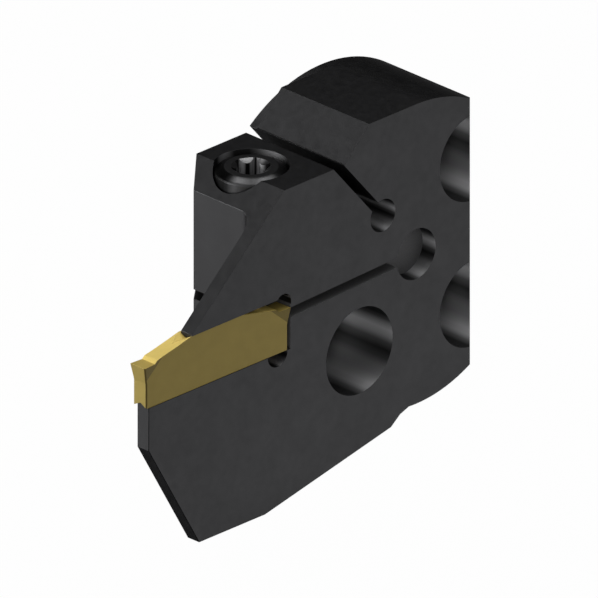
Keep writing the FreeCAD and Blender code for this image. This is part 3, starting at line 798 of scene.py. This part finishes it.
def wound_thread(name, values, place):
    """The thread as a plain piece. The values are the tree's inputs by name."""
    holder = bpy.data.objects.new(name + "_nodes", bpy.data.meshes.new(name + "_nodes"))
    bpy.context.scene.collection.objects.link(holder)
    modifier = holder.modifiers.new("thread", "NODES")
    modifier.node_group = thread_tree()
    for item in modifier.node_group.interface.items_tree:
        if item.name in values:
            modifier[item.identifier] = values[item.name]
    piece = plain_object(holder, name)
    piece.data.transform(Matrix.Translation(place))
    piece.data.shade_smooth()
    piece.data.set_sharp_from_angle(angle=math.radians(THREAD_SHARP_ANGLE))
    return piece


class CUTTERHEAD_OT_screw(bpy.types.Operator):
    """Clamp screw with a six-lobe socket and its thread"""

    bl_idname = "cutterhead.screw"
    bl_label = "Clamp screw"

    def execute(self, context):
        sizes = context.scene.head_sizes
        colours = context.scene.head_colours
        shape = merged_mesh("clamp_screw")
        round_head_rim(shape, sizes.rim_round)
        mark_head(shape)
        crest = turn_shank_down(shape, sizes.thread_length, sizes.thread_depth)
        materials = (
            turned_screw_steel(colours.screw),
            # Painted reflection and painted highlights: bands on the socket's mouth, the head's side
            # and the socket's walls.
            painted_reflection_steel("socket_mouth_painted_reflection", colours.mouth, SOCKET_MOUTH_PAINTED_REFLECTION, 0.6, 0.34),
            painted_reflection_steel("head_side_painted_reflection", colours.side, HEAD_PAINTED_REFLECTION, 1.0, 0.38),
            painted_reflection_steel("socket_wall_painted_reflection", colours.socket, SOCKET_WALL_PAINTED_REFLECTION, 0.3, 0.4))
        piece = finished_piece(shape, "clamp_screw_turned", materials, sizes.screw_edge)
        hand_over(piece, "clamp_screw")

        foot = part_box("clamp_screw")[0][2]
        thread = wound_thread("clamp_screw_thread", {
            "Pitch": sizes.thread_pitch,
            "Depth": sizes.thread_depth,
            "Length": sizes.thread_length - sizes.thread_pitch,
            "Crest Radius": crest,
            "Material": materials[0],
        }, (*screw_axis()[:2], foot + sizes.thread_pitch / 2))
        hand_over(thread, "clamp_screw")
        return {"FINISHED"}


def direction(azimuth, elevation):
    """Unit vector from the head towards a camera or lamp at these angles."""
    return Vector((
        math.sin(azimuth) * math.cos(elevation),
        -math.cos(azimuth) * math.cos(elevation),
        math.sin(elevation)))


def aim(item, place, target):
    """Put a camera or lamp somewhere and point it at the target."""
    item.location = place
    item.rotation_euler = (target - place).to_track_quat("-Z", "Y").to_euler()


def add_lamp(name, azimuth, elevation, watts, side, target):
    """A square soft lamp that looks at the target."""
    lamp = bpy.data.lights.new(name, "AREA")
    lamp.energy = watts
    lamp.size = side
    item = bpy.data.objects.new(name, lamp)
    bpy.context.scene.collection.objects.link(item)
    place = target + direction(math.radians(azimuth), math.radians(elevation)) * LAMP_DISTANCE
    aim(item, place, target)


def white_floor(floor_colour, height):
    """Matt painted board. It glows for the rays that show it, and keeps the shadow.

    For a ray that a shiny face mirrors, the glow is held back close to the head, where the head
    keeps the light off a real board.
    """
    material, tree, output = new_material("matt_painted_board")
    board = add_node(tree, "ShaderNodeBsdfDiffuse", {"Color": floor_colour})
    glow = add_node(tree, "ShaderNodeEmission", {"Color": WHITE, "Strength": 1.0})
    path = add_node(tree, "ShaderNodeLightPath")
    place = add_node(tree, "ShaderNodeTexCoord")
    away = add_node(tree, "ShaderNodeVectorMath", {
        0: place.outputs["Object"], 1: (*SHADE_MIDDLE, height),
    }, operation="DISTANCE")
    open_floor = add_node(tree, "ShaderNodeMapRange", {
        "Value": away.outputs["Value"], "From Min": SHADED_FLOOR, "From Max": OPEN_FLOOR,
    }, interpolation_type="SMOOTHSTEP")
    across = add_node(tree, "ShaderNodeVectorMath", {
        0: place.outputs["Object"], 1: (1.0, 1.0, 0.0),
    }, operation="DOT_PRODUCT")
    near_start, near_end, far_start, far_end = DARK_CORNERS
    near_corner = add_node(tree, "ShaderNodeMapRange", {
        "Value": across.outputs["Value"], "From Min": near_start, "From Max": near_end,
    }, interpolation_type="SMOOTHSTEP")
    far_corner = add_node(tree, "ShaderNodeMapRange", {
        "Value": across.outputs["Value"], "From Min": far_start, "From Max": far_end,
        "To Min": 1.0, "To Max": 0.0,
    }, interpolation_type="SMOOTHSTEP")
    mirrored = path.outputs["Is Glossy Ray"]
    for part in (open_floor, near_corner, far_corner):
        step = add_node(tree, "ShaderNodeMath", {
            0: mirrored, 1: part.outputs["Result"],
        }, operation="MULTIPLY")
        mirrored = step.outputs["Value"]
    seen = add_node(tree, "ShaderNodeMath", {
        0: path.outputs["Is Camera Ray"], 1: path.outputs["Is Transmission Ray"],
    }, operation="MAXIMUM")
    dimmed = add_node(tree, "ShaderNodeMath", {
        0: seen.outputs["Value"], 1: FLOOR_GLOW,
    }, operation="MULTIPLY")
    share = add_node(tree, "ShaderNodeMath", {
        0: dimmed.outputs["Value"], 1: mirrored,
    }, operation="MAXIMUM")
    mixed = add_node(tree, "ShaderNodeMixShader", {
        "Fac": share.outputs["Value"], 1: board.outputs["BSDF"], 2: glow.outputs["Emission"],
    })
    tree.links.new(mixed.outputs["Shader"], output.inputs["Surface"])
    return material


def add_floor(height, material):
    """A wide round board below the head."""
    shape = bmesh.new()
    bmesh.ops.create_circle(shape, cap_ends=True, segments=96, radius=FLOOR_RADIUS)
    bmesh.ops.translate(shape, verts=shape.verts, vec=(0.0, 0.0, height))
    mesh = bpy.data.meshes.new("floor")
    shape.to_mesh(mesh)
    shape.free()
    mesh.materials.append(material)
    floor = bpy.data.objects.new("floor", mesh)
    bpy.context.scene.collection.objects.link(floor)


def light_room(settings):
    """A soft room whose four walls and ceiling each have their own light, blended by direction."""
    world = bpy.data.worlds.new("soft_room")
    bpy.context.scene.world = world
    world.use_nodes = True
    tree = world.node_tree
    tree.nodes.clear()
    place = add_node(tree, "ShaderNodeTexCoord")
    axes = add_node(tree, "ShaderNodeSeparateXYZ", {0: place.outputs["Generated"]})
    light = None
    for axis, low, high in (
        ("X", settings.room_left, settings.room_right),
        ("Y", settings.room_front, settings.room_back),
        ("Z", 0.0, settings.room_top),
    ):
        part = axes.outputs[axis]
        far = add_node(tree, "ShaderNodeMath", {0: part, 1: 0.0}, operation="GREATER_THAN")
        side = add_node(tree, "ShaderNodeMapRange", {
            "Value": far.outputs["Value"], "To Min": low, "To Max": high,
        })
        square = add_node(tree, "ShaderNodeMath", {0: part, 1: part}, operation="MULTIPLY")
        wall = add_node(tree, "ShaderNodeMath", {
            0: square.outputs["Value"], 1: side.outputs["Result"],
        }, operation="MULTIPLY")
        if light:
            wall = add_node(tree, "ShaderNodeMath", {
                0: wall.outputs["Value"], 1: light.outputs["Value"],
            }, operation="ADD")
        light = wall
    room = add_node(tree, "ShaderNodeBackground", {
        "Color": WHITE, "Strength": light.outputs["Value"],
    })
    sky = add_node(tree, "ShaderNodeBackground", {"Color": WHITE, "Strength": 1.0})
    path = add_node(tree, "ShaderNodeLightPath")
    mixed = add_node(tree, "ShaderNodeMixShader", {
        "Fac": path.outputs["Is Camera Ray"],
        1: room.outputs["Background"], 2: sky.outputs["Background"],
    })
    output = add_node(tree, "ShaderNodeOutputWorld")
    tree.links.new(mixed.outputs["Shader"], output.inputs["Surface"])


class CUTTERHEAD_OT_stage(bpy.types.Operator):
    """Floor, lamps and the camera"""

    bl_idname = "cutterhead.stage"
    bl_label = "Stage"

    def execute(self, context):
        scene = context.scene
        settings = scene.stage_settings
        target = Vector(VIEW_TARGET)
        camera = bpy.data.cameras.new("camera")
        camera.type = "ORTHO"
        camera.ortho_scale = settings.frame_width
        camera.clip_start = 0.01
        item = bpy.data.objects.new("camera", camera)
        scene.collection.objects.link(item)
        aim(item, target + direction(settings.azimuth, settings.elevation) * settings.distance, target)
        scene.camera = item

        height = CAD_BOX[0][2] - settings.floor_gap
        add_floor(height, white_floor(scene.head_colours.floor, height))
        for lamp in LAMPS:
            add_lamp(*lamp, target)
        light_room(settings)
        scene.view_settings.view_transform = "Standard"
        return {"FINISHED"}


class CUTTERHEAD_PT_panel(bpy.types.Panel):
    """Sizes, colours and steps of the cutter head"""

    bl_label = "Cutter head"
    bl_idname = "CUTTERHEAD_PT_panel"
    bl_space_type = "VIEW_3D"
    bl_region_type = "UI"
    bl_category = "Cutter head"

    def draw(self, context):
        layout = self.layout
        for title, group in (
            ("Sizes", context.scene.head_sizes),
            ("Colours", context.scene.head_colours),
            ("Stage", context.scene.stage_settings),
        ):
            box = layout.box()
            box.label(text=title)
            for name in type(group).__annotations__:
                box.prop(group, name)
        for operator in OPERATORS:
            layout.operator(operator.bl_idname)


GROUPS = {"head_sizes": HeadSizes, "head_colours": HeadColours, "stage_settings": StageSettings}
OPERATORS = (CUTTERHEAD_OT_body, CUTTERHEAD_OT_insert, CUTTERHEAD_OT_screw, CUTTERHEAD_OT_stage)


def register():
    for name, group in GROUPS.items():
        bpy.utils.register_class(group)
        setattr(bpy.types.Scene, name, bpy.props.PointerProperty(type=group))
    for operator in OPERATORS:
        bpy.utils.register_class(operator)
    bpy.utils.register_class(CUTTERHEAD_PT_panel)


def unregister():
    bpy.utils.unregister_class(CUTTERHEAD_PT_panel)
    for operator in reversed(OPERATORS):
        bpy.utils.unregister_class(operator)
    for name, group in reversed(GROUPS.items()):
        delattr(bpy.types.Scene, name)
        bpy.utils.unregister_class(group)


def main():
    register()
    bpy.ops.cutterhead.body()
    bpy.ops.cutterhead.insert()
    bpy.ops.cutterhead.screw()
    bpy.ops.cutterhead.stage()


if __name__ == "__main__":
    main()
